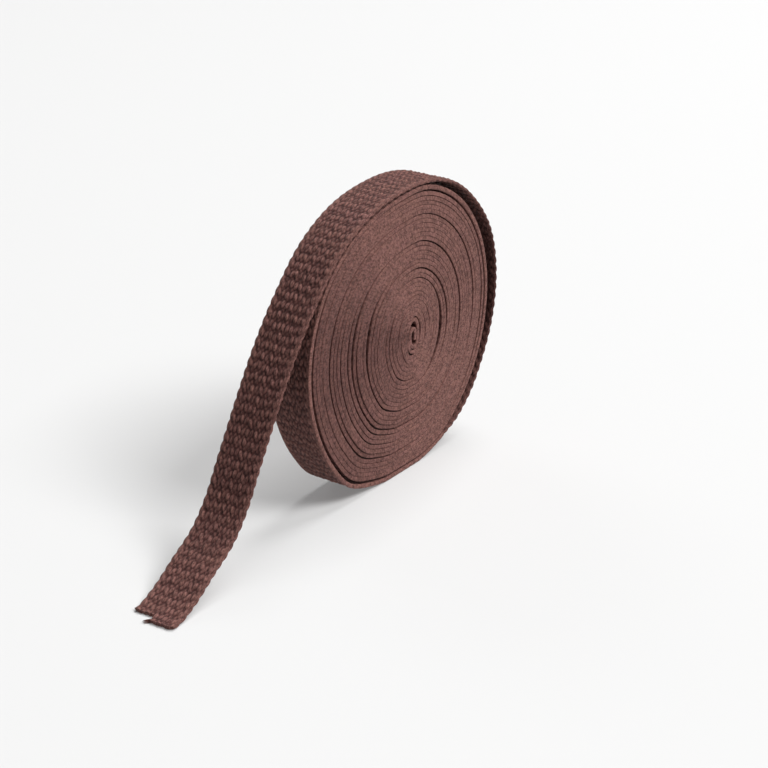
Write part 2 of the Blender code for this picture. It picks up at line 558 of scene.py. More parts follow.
    def wound_turns(self) -> WoundTurns:
        """Wind the strap from the first full turn round the heart to the lifting place.

        Returns:
            The wound turns.
        """
        rim_bearing, rim = self.rim()
        lift = rim_bearing[0]
        laps = round((self.heart_bearing - lift) / 360 + self.turns)
        start = self.heart_bearing - 360.0 * laps
        packing = self.pack(start)
        inner = np.arange(start, lift - self.reading_step / 2, self.reading_step)
        heart, pitch, widths = packing.at(inner)
        reach = heart + pitch * (inner - start) / 360.0
        sunk = np.zeros(len(inner) + len(rim))
        for index, gap in enumerate(self.gaps):
            past = inner - self.crossing(index, packing, start)
            reach += widths[:, index] * soft_step(past / self.crossing_spread + 0.5)
            shown = np.exp(-((turned(inner, gap.bearing) / gap.spread) ** 2))
            beside = np.exp(-(((past / 360.0 + 0.5) / self.sink_laps) ** 2))
            sunk[: len(inner)] += gap.sink * MILLIMETRE * shown * beside
        turn = np.radians(inner)
        ring = np.stack([np.cos(turn), np.sin(turn)], axis=1)
        wound = self.core_centre() + reach[:, None] * ring
        plane = np.concatenate([wound, rim])
        unwrapped = np.concatenate([inner, rim_bearing])
        still = soft_step((unwrapped[-1] - unwrapped) / self.settling)
        shift = (sunk + self.wander(unwrapped, start, lift)) * still
        points = np.stack([plane[:, 0], shift, plane[:, 1]], axis=1)
        pressed = packing.at(unwrapped)[1]
        pressed[len(inner) :] += self.room_under_last(rim_bearing) / 2
        pressed = np.clip(pressed, self.tightest_thickness, self.loosest_thickness)
        first = unwrapped < start + 360.0
        pressed[first] = np.minimum(pressed[first], self.heart_thickness)
        pressed += (self.strap_thickness - pressed) * (1 - still)
        looseness = np.zeros(len(unwrapped))
        fully_loose = self.loosest_share * self.radius
        looseness[: len(inner)] = np.clip(widths.sum(axis=1) / fully_loose, 0, 1)
        return WoundTurns(points, pressed, looseness, len(inner))

    def heart_points(self, wound: np.ndarray) -> np.ndarray:
        """Lay out the folded start of the strap, which runs into the first full turn.

        Args:
            wound: points of the wound turns.

        Returns:
            The folded start's points, from the roll's centre.
        """
        middle = self.core_centre()
        rows = [middle + MILLIMETRE * np.array([row.x, row.z]) for row in self.heart]
        lead = int(round(self.heart_lead / self.reading_step))
        lead_in = [wound[index * lead, [0, 2]] for index in range(self.heart_lead_points)]
        joined = np.array([*rows, *lead_in])
        knots = lengths_along(joined)
        places = np.arange(0.0, knots[len(rows)], self.line_step)
        x, z = [smooth_values(knots, line, places) for line in joined.T]
        return np.stack([x, np.full_like(x, wound[0, 1]), z], axis=1)

    def loose_points(self) -> np.ndarray:
        """Lay out the lifted last turn and the free end, down to the tip.

        Returns:
            Their points, from the roll's centre.
        """
        start = self.lift_angle + self.step_angle
        angles = np.arange(start, self.last_turn[-1].angle, self.polar_step)
        lifted = smooth_values(*np.array(self.last_turn).T, angles)
        lying = smooth_values(*np.array(self.outline).T, angles)
        lying += (self.piece_gap + self.strap_thickness) / self.radius
        radius = self.radius * np.maximum(lifted, lying)
        bearing = np.radians(angles)
        polar = np.stack([radius * np.cos(bearing), radius * np.sin(bearing)], axis=1)
        points = np.concatenate([polar, self.radius * np.array(self.free_end)])
        knots = lengths_along(points)
        places = np.linspace(0.0, knots[-1], int(knots[-1] / self.line_step))
        x, z = [smooth_values(knots, line, places) for line in points.T]
        leaving = knots[len(polar)]
        drift = np.clip((places - leaving) / (knots[-1] - leaving), 0.0, 1.0) ** 2
        return np.stack([x, self.tip_drift * drift, z], axis=1)

    def build(self) -> tuple[Route, StrapPlaces]:
        """Lay out the whole strap.

        Returns:
            The route, and the distances along it of the places that matter to its looks.
        """
        turns = self.wound_turns()
        wound = turns.points
        heart = self.heart_points(wound)
        loose = self.loose_points()
        to_end = lengths_along(wound)[-1] - lengths_along(wound)
        joint = soft_step(1 - to_end / self.joint_length)
        wound += (loose[0] - wound[-1]) * joint[:, None]
        points = np.concatenate([heart, wound, loose[1:]])
        points += np.array(self.centre)
        thickness = np.full(len(points), self.strap_thickness)
        thickness[: len(heart)] = self.heart_thickness
        thickness[len(heart) : len(heart) + len(wound)] = turns.pressed
        looseness = np.zeros(len(points))
        looseness[len(heart) : len(heart) + len(wound)] = turns.looseness
        route = Route(points, thickness, looseness)
        loose_start = len(heart) + len(wound) - 1
        straight = np.array(self.free_end[0]) - np.array(self.free_end[-1])
        to_side = self.radius * math.radians(self.to_right_side)
        lengths = route.lengths
        places = StrapPlaces(
            last_lap=float(lengths[len(heart) + turns.last_lap]),
            loose=float(lengths[loose_start]),
            right_side=float(lengths[loose_start] + to_side),
            slope=float(lengths[-1] - self.slope_to_tip),
            bend=float(lengths[-1] - self.radius * np.linalg.norm(straight)),
            tip=float(lengths[-1]),
        )
        return route, places


@dataclass(frozen=True)
class EdgeForm:
    """Shape of the strap's edges.

    inset is where a broad face gives way to the edge, fall how far it bends down there,
    corner_drop how far the edge falls back at its corners, and lobe_reach how far its lobes
    stand out. base_height is the weave's height between lobes, which sets the edge's painted
    shade, and corner_shade how much of it is lost at the corners, which paints shade there.
    pinch is how much thinner the edge is between lobes.
    """

    inset: float
    fall: float
    corner_drop: float
    lobe_reach: float
    base_height: float
    corner_shade: float
    pinch: float


LOOSE_EDGE = EdgeForm(
    inset=0.00030,
    fall=0.00018,
    corner_drop=0.00022,
    lobe_reach=0.00036,
    base_height=0.32,
    corner_shade=0.12,
    pinch=0.00009,
)
OUTERMOST_EDGE = EdgeForm(
    inset=0.00022,
    fall=0.00004,
    corner_drop=0.00012,
    lobe_reach=0.00014,
    base_height=0.80,
    corner_shade=0.10,
    pinch=0.00004,
)
PRESSED_EDGE = EdgeForm(
    inset=0.00006,
    fall=0.0,
    corner_drop=0.00002,
    lobe_reach=0.00008,
    base_height=0.84,
    corner_shade=0.0,
    pinch=0.00005,
)


class Grain(NamedTuple):
    """One kind of raised grain in the weave, and where in its cell it lies.

    slant is in degrees, the shifts are shares of a cell, and draw says which of the random
    tables are the grain's own.
    """

    half_length: float
    half_width: float
    height: float
    slant: float
    row_shift: float
    column_shift: float
    draw: int


FLOAT_GRAIN = Grain(
    half_length=0.00120,
    half_width=0.00064,
    height=1.0,
    slant=12.0,
    row_shift=0.0,
    column_shift=0.0,
    draw=0,
)
PICK_GRAIN = Grain(
    half_length=0.00070,
    half_width=0.00046,
    height=0.62,
    slant=8.0,
    row_shift=0.5,
    column_shift=0.5,
    draw=3,
)


@dataclass(frozen=True)
class Weave:
    """Relief of the weave: rows of slanted floats, low picks between, laid selvages.

    weak_column is the height of every second column of grains. The picks lie lower round
    open_place, where the strap bends. Lobes are the swellings of the selvage's yarn, one
    row at each corner of the edge.
    """

    half_width: float = 0.007
    rib_pitch: float = 0.0029
    column_pitch: float = 0.0014
    columns: int = 9
    weak_column: float = 0.74
    float_grain: Grain = FLOAT_GRAIN
    pick_grain: Grain = PICK_GRAIN
    inner_shift: float = 0.5
    highest: float = 1.15
    roundness: float = 0.75
    slant_jitter: float = 10.0
    slip: float = 0.11
    unevenness: float = 0.24
    relief: float = 0.00036
    open_drop: float = 0.55
    open_place: float = 0.0
    open_spread: float = 0.013
    selvage_width: float = 0.00120
    selvage_base: float = 0.35
    lobe_place: float = 0.45
    lobe_spread: float = 0.42
    lobe_lean: float = 0.20
    lobe_shift: float = 0.25
    lobe_power: float = 0.9
    table_rows: int = 509
    table_columns: int = 16
    seed: int = 23

    def random(self, row: np.ndarray, column: np.ndarray, draw: int) -> np.ndarray:
        """Draw a steady random number for each grain.

        Args:
            row: the grain's row along the strap.
            column: the grain's column across it.
            draw: which table to read.

        Returns:
            Numbers from -1 to 1.
        """
        size = (self.table_rows, self.table_columns)
        table = np.random.default_rng(self.seed + draw).uniform(-1, 1, size)
        return table[row.astype(int) % self.table_rows, column.astype(int) % self.table_columns]

    def grains(
        self, grain: Grain, along: np.ndarray, across: np.ndarray, face: Face
    ) -> np.ndarray:
        """How high one kind of grain stands at each point, from 0 to about 1.

        Args:
            grain: the kind of grain.
            along: distances along the strap.
            across: distances from the middle toward the back edge.
            face: the broad face that is looked at.

        Returns:
            The height of the highest such grain over each point.
        """
        turn_over = 0.0 if face is Face.OUTER else self.inner_shift
        rows = along / self.rib_pitch + grain.row_shift + turn_over
        cells = across / self.column_pitch + (self.columns - 1) / 2 + grain.column_shift
        last_column = self.columns - 1 + 2 * grain.column_shift
        heights = np.zeros(np.broadcast(rows, cells).shape)
        for row_step in (-1, 0, 1):
            for column_step in (-1, 0, 1):
                row = np.round(rows) + row_step
                column = np.round(cells) + column_step
                lean = np.where(column % 2 == 0, grain.slant, -grain.slant)
                lean = lean + self.slant_jitter * self.random(row, column, grain.draw)
                turn = np.radians(lean * face.value)
                slip = self.slip * self.random(row, column, grain.draw + 1)
                ahead = (rows - row - slip) * self.rib_pitch
                beside = (cells - column) * self.column_pitch
                forward = ahead * np.cos(turn) - beside * np.sin(turn)
                sideways = ahead * np.sin(turn) + beside * np.cos(turn)
                far = (forward / grain.half_length) ** 2 + (sideways / grain.half_width) ** 2
                uneven = 1 + self.unevenness * self.random(row, column, grain.draw + 2)
                uneven = uneven * np.where(column % 2 == 0, 1.0, self.weak_column)
                dome = np.clip(1 - far, 0.0, 1.0) ** self.roundness * grain.height * uneven
                inside = (column >= 0) & (column <= last_column)
                heights = np.maximum(heights, np.where(inside, dome, 0.0))
        return heights

    def lobe(self, along: np.ndarray, place: np.ndarray | float) -> np.ndarray:
        """How far the selvage's lobes stand out, from 0 to 1.

        Args:
            along: distances along the strap.
            place: place on the edge, from 1 at the outer face to -1 at the inner.

        Returns:
            The share of the lobes' full reach.
        """
        reach = np.zeros(np.broadcast(along, place).shape)
        for side in (1, -1):
            away = place - side * self.lobe_place
            turn = along / self.rib_pitch + self.lobe_shift * side + self.lobe_lean * away
            swell = np.abs(np.cos(np.pi * turn)) ** self.lobe_power
            reach = np.maximum(reach, swell * np.exp(-((away / self.lobe_spread) ** 2)))
        return reach

    def surface(
        self, along: np.ndarray, across: np.ndarray, face: Face, edge_form: EdgeForm
    ) -> tuple[np.ndarray, np.ndarray]:
        """Relief of a broad face.

        Args:
            along: distances along the strap.
            across: distances from the middle toward the back edge.
            face: the broad face that is looked at.
            edge_form: the shape of the edges beside it.

        Returns:
            How deep each point lies below the crowns, and its height from 0 to 1.
        """
        opened = np.exp(-(((along - self.open_place) / self.open_spread) ** 2))
        picks = self.grains(self.pick_grain, along, across, face) * (1 - self.open_drop * opened)
        height = np.maximum(self.grains(self.float_grain, along, across, face), picks)
        from_edge = self.half_width - np.abs(across)
        edge = np.clip(1 - (from_edge - edge_form.inset) / self.selvage_width, 0.0, 1.0)
        rope = self.lobe(along, face.value * self.lobe_place)
        selvage = self.selvage_base + (1 - self.selvage_base) * rope
        height = height * (1 - edge) + selvage * edge
        sunken = 1 - np.clip(height, 0.0, self.highest)
        depth = self.relief * sunken + edge_form.fall * edge**2
        return depth, np.clip(height, 0.0, 1.0)


@dataclass
class StrapStretch:
    """One stretch of the strap as a closed mesh with the weave's relief.

    nose_places run over an edge from 1 at the outer face to -1 at the inner. shade paints
    shade on the yarn round shaded_place, and loose_shade paints shade on the edges of turns
    that lie loosely, where shade falls between them. A stretch with a tip_step ends in the
    cut: its back half is that much shorter, its corners are cut back from corner_begins
    outward, and its line is ragged.
    """

    name: str
    route: Route
    weave: Weave
    begin: float
    end: float
    detail: Detail
    edge_form: EdgeForm
    stations_in_rib: int = 8
    face_columns: int = 57
    nose_places: tuple[float, ...] = (0.97, 0.80, 0.42, 0.0, -0.42, -0.80, -0.97)
    shoulder_share: float = 0.6
    lobe_middle: float = 0.5
    corner_power: int = 3
    corner_shade_power: int = 4
    floor: float = 0.0
    shaded_place: float = 0.0
    shade: Shade = NO_SHADE
    loose_shade: float = 0.62
    tip_step: float = 0.0
    tip_reach: float = 0.009
    tip_ragged: float = 0.00010
    ragged_places: int = 23
    ragged_reach: float = 1.1
    step_begins: float = 0.0002
    step_width: float = 0.0006
    corner_cut: float = 0.0004
    corner_begins: float = 0.80
    corner_width: float = 0.2
    cut_lip: float = 0.00004
    cut_height: float = 0.45
    seed: int = 5

    def columns(self, face: Face) -> np.ndarray:
        """Choose the places across the strap at which a broad face has vertices.

        Args:
            face: the broad face.

        Returns:
            Distances from the middle, from front to back.
        """
        reach = self.weave.half_width - self.edge_form.inset
        if self.detail is Detail.BOTH_FACES or (
            self.detail is Detail.OUTER_FACE and face is Face.OUTER
        ):
            return np.linspace(-reach, reach, self.face_columns)
        shoulder = reach - self.shoulder_share * self.weave.selvage_width
        return np.array([-shoulder, shoulder])

    def tip_places(self, places: np.ndarray, across: np.ndarray) -> np.ndarray:
        """Draw the last stations back to the stepped, slightly ragged cut.

        Args:
            places: distances along the strap of the stations.
            across: distances from the middle, one for each column.

        Returns:
            A distance along the strap for every station and column.
        """
        grid = np.broadcast_to(places[:, None], (len(places), len(across))).copy()
        if self.tip_step == 0.0:
            return grid
        draws = np.random.default_rng(self.seed)
        half_width = self.weave.half_width
        knots = np.linspace(-self.ragged_reach, self.ragged_reach, self.ragged_places) * half_width
        heights = draws.uniform(-1, 1, self.ragged_places)
        ragged = np.interp(across, knots, heights) * self.tip_ragged
        back = soft_step((across + self.step_begins) / self.step_width)
        past_corner = np.clip(np.abs(across) / half_width - self.corner_begins, 0, 1)
        corner = self.corner_cut * past_corner / self.corner_width
        short = self.tip_step * back + ragged + corner + self.tip_ragged
        begin = places[-1] - self.tip_reach
        ahead = np.clip(grid - begin, 0.0, None)
        return np.where(grid > begin, begin + ahead * (1 - short / self.tip_reach), grid)

    def broad_face(
        self, places: np.ndarray, face: Face
    ) -> tuple[np.ndarray, np.ndarray, np.ndarray, np.ndarray]:
        """Lay out one broad face.

        Args:
            places: distances along the strap of the stations.
            face: the broad face to make.

        Returns:
            For each station and column its place along, its place across, its depth from
            the outer surface, and the height of the weave there.
        """
        across = self.columns(face)
        along = self.tip_places(places, across)
        wide = np.broadcast_to(across, along.shape)
        depth, height = self.weave.surface(along, wide, face, self.edge_form)
        if face is Face.INNER:
            depth = self.route.thickness_at(along) - depth
        return along, wide, depth, height

    def edge_nose(
        self, places: np.ndarray, side: int
    ) -> tuple[np.ndarray, np.ndarray, np.ndarray, np.ndarray]:
        """Lay out one edge, from the outer face round to the inner one.

        Args:
            places: distances along the strap of the stations.
            side: 1 for the back edge, -1 for the front one.

        Returns:
            The same four grids as for a broad face.
        """
        form = self.edge_form
        place = np.array(self.nose_places)
        along = self.tip_places(places, np.full_like(place, side * self.weave.half_width))
        place = np.broadcast_to(place, along.shape)
        lobe = self.weave.lobe(along, place)
        back = form.corner_drop * np.abs(place) ** self.corner_power
        back = back + form.lobe_reach * (self.lobe_middle - lobe)
        wide = side * (self.weave.half_width - back)
        half = self.route.thickness_at(along) / 2
        beside = self.weave.lobe(along, np.sign(place) * self.weave.lobe_place)
        lead = form.fall + form.pinch * (1 - beside)
        depth = half - (half - lead) * place
        # Painted shade on the edge: its height sets how dark it is, lowered further at the
        # corners.
        height = form.base_height + (1 - form.base_height) * lobe
        height = height * (1 - form.corner_shade * place**self.corner_shade_power)
        # Painted shade: edges of turns that lie loosely are darkened, for the shade that falls
        # between them.
        height = height * (1 - self.loose_shade * self.route.looseness_at(along))
        return along, wide, depth, height

    def place(self, along: np.ndarray, wide: np.ndarray, depth: np.ndarray) -> np.ndarray:
        """Turn places on the strap into points in the part's frame.

        Args:
            along: distances along the strap.
            wide: distances from the middle toward the back edge.
            depth: distances below the outer surface.

        Returns:
            One point for each place.
        """
        points, _, outward, across = self.route.frames(along.ravel())
        points += across * wide.ravel()[:, None] - outward * depth.ravel()[:, None]
        points[:, 2] = np.maximum(points[:, 2], self.floor)
        return points.reshape(*along.shape, 3)

    def build(self) -> bpy.types.Object:
        """Make the stretch's closed mesh.

        Returns:
            The new object, smooth shaded, with its places on the strap as attributes.
        """
        spacing = self.weave.rib_pitch / self.stations_in_rib
        count = max(2, int(round((self.end - self.begin) / spacing)))
        places = np.linspace(self.begin, self.end, count + 1)
        outer = self.broad_face(places, Face.OUTER)
        back = self.edge_nose(places, 1)
        inner = self.broad_face(places, Face.INNER)
        front = self.edge_nose(places, -1)
        along, wide, depth, height = [
            np.concatenate([top, rear, under[:, ::-1], near[:, ::-1]], axis=1)
            for top, rear, under, near in zip(outer, back, inner, front)
        ]
        if self.tip_step > 0.0:
            along = np.concatenate([along, along[-1:] + self.cut_lip])
            wide, depth = [np.concatenate([grid, grid[-1:]]) for grid in (wide, depth)]
            height = np.concatenate([height, np.full_like(height[-1:], self.cut_height)])
        # Painted shade round shaded_place: the lifted turn's right side and the free end's slope.
        away = (along - self.shaded_place) / self.shade.spread
        height = height * (1 - self.shade.loss * np.exp(-(away**2)))
        points = self.place(along, wide, depth)
        stations, ring = along.shape
        mesh = bpy.data.meshes.new(self.name)
        mesh.vertices.add(stations * ring)
        mesh.vertices.foreach_set("co", points.astype(np.float32).ravel())
        self.add_faces(mesh, stations, ring)
        mesh.update(calc_edges=True)
        mesh.shade_smooth()
        self.sharpen_ends(mesh, stations, ring)
        mark_places(mesh, np.stack([along, wide, depth], axis=-1), height)
        piece = bpy.data.objects.new(self.name, mesh)
        bpy.context.scene.collection.objects.link(piece)
        return piece

    def end_faces(self, ring: int) -> list[np.ndarray]:
        """Faces that close the stretch's start, as places round its ring of vertices.

        Args:
            ring: how many vertices the ring has.

        Returns:
            Strips between the broad faces where both have the same columns, with one face
            at each edge, or one face over the whole end.
        """
        columns = len(self.columns(Face.OUTER))
        if columns != len(self.columns(Face.INNER)):
            return [np.arange(ring)]
        inner_edge = ring // 2 + columns
        near = np.arange(columns - 1)
        far = inner_edge - 1 - near
        strips = list(np.stack([near, near + 1, far - 1, far], axis=1))
        back = np.arange(columns - 1, ring // 2 + 1)
        front = np.append(np.arange(inner_edge - 1, ring), 0)
        return [*strips, back, front]

    def add_faces(self, mesh: bpy.types.Mesh, stations: int, ring: int) -> None:
        """Close the skin between stations, and both ends.

        Args:
            mesh: the mesh to add to.
            stations: how many rings of vertices it has.
            ring: how many vertices a ring has.
        """
        first = np.arange((stations - 1) * ring).reshape(stations - 1, ring)
        after = np.roll(first, -1, axis=1)
        quads = np.stack([first, first + ring, after + ring, after], axis=-1).reshape(-1, 4)
        start = self.end_faces(ring)
        end = [face[::-1] + (stations - 1) * ring for face in start]
        loops = np.concatenate([quads.ravel(), *start, *end]).astype(np.int32)
        sizes = [4] * len(quads) + [len(face) for face in (*start, *end)]
        mesh.loops.add(len(loops))
        mesh.loops.foreach_set("vertex_index", loops)
        mesh.polygons.add(len(sizes))
        mesh.polygons.foreach_set("loop_start", (np.cumsum(sizes) - sizes).astype(np.int32))

    @staticmethod
    def sharpen_ends(mesh: bpy.types.Mesh, stations: int, ring: int) -> None:
        """Keep the closed ends from bending the shading of the skin beside them.

        Args:
            mesh: the stretch's mesh.
            stations: how many rings of vertices it has.
            ring: how many vertices a ring has.
        """
        ends = np.zeros(len(mesh.edges) * 2, np.int32)
        mesh.edges.foreach_get("vertices", ends)
        ends = ends.reshape(-1, 2)
        last = (stations - 1) * ring
        sharp = (ends.max(axis=1) < ring) | (ends.min(axis=1) >= last)
        attribute = mesh.attributes.new("sharp_edge", "BOOLEAN", "EDGE")
        attribute.data.foreach_set("value", sharp)


class ShaderValue:
    """A number in a shader, whose arithmetic adds Math nodes."""

    def __init__(self, shader: "Shader", socket: bpy.types.NodeSocket) -> None:
        """Wrap a socket of the given shader."""
        self.shader = shader
        self.socket = socket

    def combine(self, operation: str, *terms: "ShaderValue | float") -> "ShaderValue":
        """Feed terms to a Math node and wrap what it gives.

        Args:
            operation: what the node does.
            terms: its inputs in order.

        Returns:
            The node's result.
        """
        inputs = dict(enumerate(terms))
        made = self.shader.node("ShaderNodeMath", {"operation": operation}, inputs)
        return ShaderValue(self.shader, made.outputs[0])

    def __add__(self, other: "ShaderValue | float") -> "ShaderValue":
        """Add."""
        return self.combine("ADD", self, other)

    def __radd__(self, other: float) -> "ShaderValue":
        """Add to a number."""
        return self.combine("ADD", other, self)

    def __sub__(self, other: "ShaderValue | float") -> "ShaderValue":
        """Subtract."""
        return self.combine("SUBTRACT", self, other)

    def __rsub__(self, other: float) -> "ShaderValue":
        """Subtract from a number."""
        return self.combine("SUBTRACT", other, self)

    def __mul__(self, other: "ShaderValue | float") -> "ShaderValue":
        """Multiply."""
        return self.combine("MULTIPLY", self, other)

    def __rmul__(self, other: float) -> "ShaderValue":
        """Multiply a number."""
        return self.combine("MULTIPLY", other, self)

    def absolute(self) -> "ShaderValue":
        """Drop the sign."""
        return self.combine("ABSOLUTE", self)

    def limited(self) -> "ShaderValue":
        """Keep between 0 and 1."""
        return self.combine("MINIMUM", self.combine("MAXIMUM", self, 0.0), 1.0)


class Shader:
    """A material's node tree, built node by node round its Principled BSDF."""

    MIX_FACTOR = 0
    MIX_FIRST_COLOR = 6
    MIX_SECOND_COLOR = 7
    MIX_COLOR_RESULT = 2

    def __init__(self, name: str) -> None:
        """Make a material with nodes.

        Args:
            name: the material's name.
        """
        self.material = bpy.data.materials.new(name)
        self.material.use_nodes = True
        self.tree = self.material.node_tree
        self.surface = self.tree.nodes["Principled BSDF"]

    def node(
        self, kind: str, settings: dict[str, object], inputs: dict[int | str, object]
    ) -> bpy.types.Node:
        """Add a node.

        Args:
            kind: the node's type.
            settings: properties that are set before its sockets.
            inputs: values, wrapped values or sockets for its inputs.

        Returns:
            The new node.
        """
        made = self.tree.nodes.new(kind)
        for key, value in settings.items():
            if key == "stops":
                self.set_stops(made, value)
            else:
                setattr(made, key, value)
        for key, value in inputs.items():
            self.feed(made.inputs[key], value)
        return made

    @staticmethod
    def set_stops(ramp: bpy.types.Node, stops: list[tuple[float, tuple]]) -> None:
        """Give a ramp its stops, the first ones in place of Blender's own.

        Args:
            ramp: the ramp's node.
            stops: the position and colour of each stop.
        """
        elements = ramp.color_ramp.elements
        own = len(elements)
        for index, (position, color) in enumerate(stops):
            element = elements[index] if index < own else elements.new(position)
            element.position = position
            element.color = color

    def feed(self, socket: bpy.types.NodeSocket, value: object) -> None:
        """Link or set one input socket.

        Args:
            socket: the input.
            value: a number, a colour, a wrapped value or an output socket.
        """
        if isinstance(value, ShaderValue):
            value = value.socket
        if isinstance(value, bpy.types.NodeSocket):
            self.tree.links.new(value, socket)
        else:
            socket.default_value = value

    def value(self, socket: bpy.types.NodeSocket) -> ShaderValue:
        """Wrap an output so that it takes part in arithmetic."""
        return ShaderValue(self, socket)

    def mix(
        self,
        factor: ShaderValue | float,
        first: object,
        second: object,
        blend: Blend = Blend.MIX,
    ) -> bpy.types.NodeSocket:
        """Mix two colours.

        Args:
            factor: how much of the second there is.
            first: a colour or its socket.
            second: a colour or its socket.
            blend: how they are mixed.

        Returns:
            The result's socket.
        """
        settings = {"data_type": "RGBA", "blend_type": blend.value}
        inputs = {
            self.MIX_FACTOR: factor,
            self.MIX_FIRST_COLOR: first,
            self.MIX_SECOND_COLOR: second,
        }
        return self.node("ShaderNodeMix", settings, inputs).outputs[self.MIX_COLOR_RESULT]

    def attribute(self, name: str, output: str) -> bpy.types.NodeSocket:
        """Read a mesh attribute and give one of its sockets."""
        settings = {"attribute_type": "GEOMETRY", "attribute_name": name}
        return self.node("ShaderNodeAttribute", settings, {}).outputs[output]


@dataclass
class CutYarns:
    """Yarn ends that stand out of the cut, with a small tuft at its step.

    The ranges called ahead and sideways say which way yarns point, and depths how far below
    the outer surface they start, as shares of the strap's thickness.
    """

    route: Route
    tip_step: float
    half_width: float = 0.007
    short_count: int = 30
    short_lengths: tuple[float, float] = (0.0001, 0.0004)
    tuft_count: int = 24
    tuft_lengths: tuple[float, float] = (0.0007, 0.0015)
    tuft_spread: float = 0.0004
    across_share: float = 0.95
    depths: tuple[float, float] = (0.15, 0.85)
    tuft_ahead: tuple[float, float] = (0.1, 0.8)
    tuft_sideways: tuple[float, float] = (0.6, 1.0)
    short_sideways: tuple[float, float] = (-0.5, 0.5)
    set_back: float = 0.0006
    droop: float = 0.15
    yarn_radius: float = 0.00009
    end_share: float = 0.35
    section: tuple[float, float, float] = (1.0, 0.6, 0.8)
    rings: int = 6
    sides: int = 5
    height: float = 0.65
    seed: int = 31

    def yarn_lines(self) -> np.ndarray:
        """Middle lines of all the yarn ends.

        Returns:
            Points for each yarn and ring, in the part's frame.
        """
        draws = np.random.default_rng(self.seed)
        count = self.short_count + self.tuft_count
        tuft = np.arange(count) >= self.short_count
        across = draws.uniform(-self.across_share, self.across_share, count) * self.half_width
        across[tuft] = draws.uniform(-1, 1, self.tuft_count) * self.tuft_spread
        thickness = self.route.thickness[-1]
        depth = draws.uniform(*self.depths, count) * thickness
        behind = np.where((across > 0) & ~tuft, self.tip_step, 0.0) + self.set_back
        length = draws.uniform(*self.short_lengths, count)
        length[tuft] = draws.uniform(*self.tuft_lengths, self.tuft_count)
        ahead = np.where(tuft, draws.uniform(*self.tuft_ahead, count), 1.0)
        tuft_sideways = draws.uniform(*self.tuft_sideways, count)
        short_sideways = draws.uniform(*self.short_sideways, count)
        sideways = np.where(tuft, tuft_sideways, short_sideways)
        root, forward, outward, back = self.route.frames(self.route.lengths[-1] - behind)
        run = np.linspace(0.0, 1.0, self.rings)[None, :] * (length + self.set_back)[:, None]
        points = root[:, None] + forward[:, None] * (run * ahead[:, None])[..., None]
        points += back[:, None] * (across[:, None] + run * sideways[:, None])[..., None]
        below = depth[:, None] + self.droop * run
        points -= outward[:, None] * below[..., None]
        points[..., 2] = np.maximum(points[..., 2], self.yarn_radius)
        return points

    def build(self) -> bpy.types.Object:
        """Make the yarn ends as one joined mesh of thin tapered tubes.

        Returns:
            The new object.
        """
        lines = self.yarn_lines()
        count = len(lines)
        turn = np.linspace(0, 2 * math.pi, self.sides, endpoint=False)
        taper = self.yarn_radius * np.linspace(1.0, self.end_share, self.rings)
        circle = np.stack([np.cos(turn), np.sin(turn), np.sin(turn)], axis=1) * self.section
        points = lines[:, :, None] + taper[None, :, None, None] * circle[None, None]
        points[..., 2] = np.maximum(points[..., 2], 0.0)
        per_yarn = self.rings * self.sides
        ring = np.arange(self.sides)
        around = np.roll(ring, -1)
        faces = []
        for yarn in range(count):
            base = yarn * per_yarn
            for step in range(self.rings - 1):
                low = base + step * self.sides
                high = low + self.sides
                faces += [(low + a, low + b, high + b, high + a) for a, b in zip(ring, around)]
            faces.append(tuple(base + ring[::-1]))
            faces.append(tuple(base + per_yarn - self.sides + ring))
        mesh = bpy.data.meshes.new("cut_yarn_ends")
        mesh.from_pydata(points.reshape(-1, 3).tolist(), [], [tuple(map(int, f)) for f in faces])
        mesh.shade_smooth()
        places = points.reshape(-1, 3)
        mark_places(mesh, places, np.full(len(places), self.height))
        piece = bpy.data.objects.new("cut_yarn_ends", mesh)
        bpy.context.scene.collection.objects.link(piece)
        return piece


class NoiseForm(NamedTuple):
    """A noise: its grains in a millimetre, and its number of finer layers."""

    scale: float
    detail: float


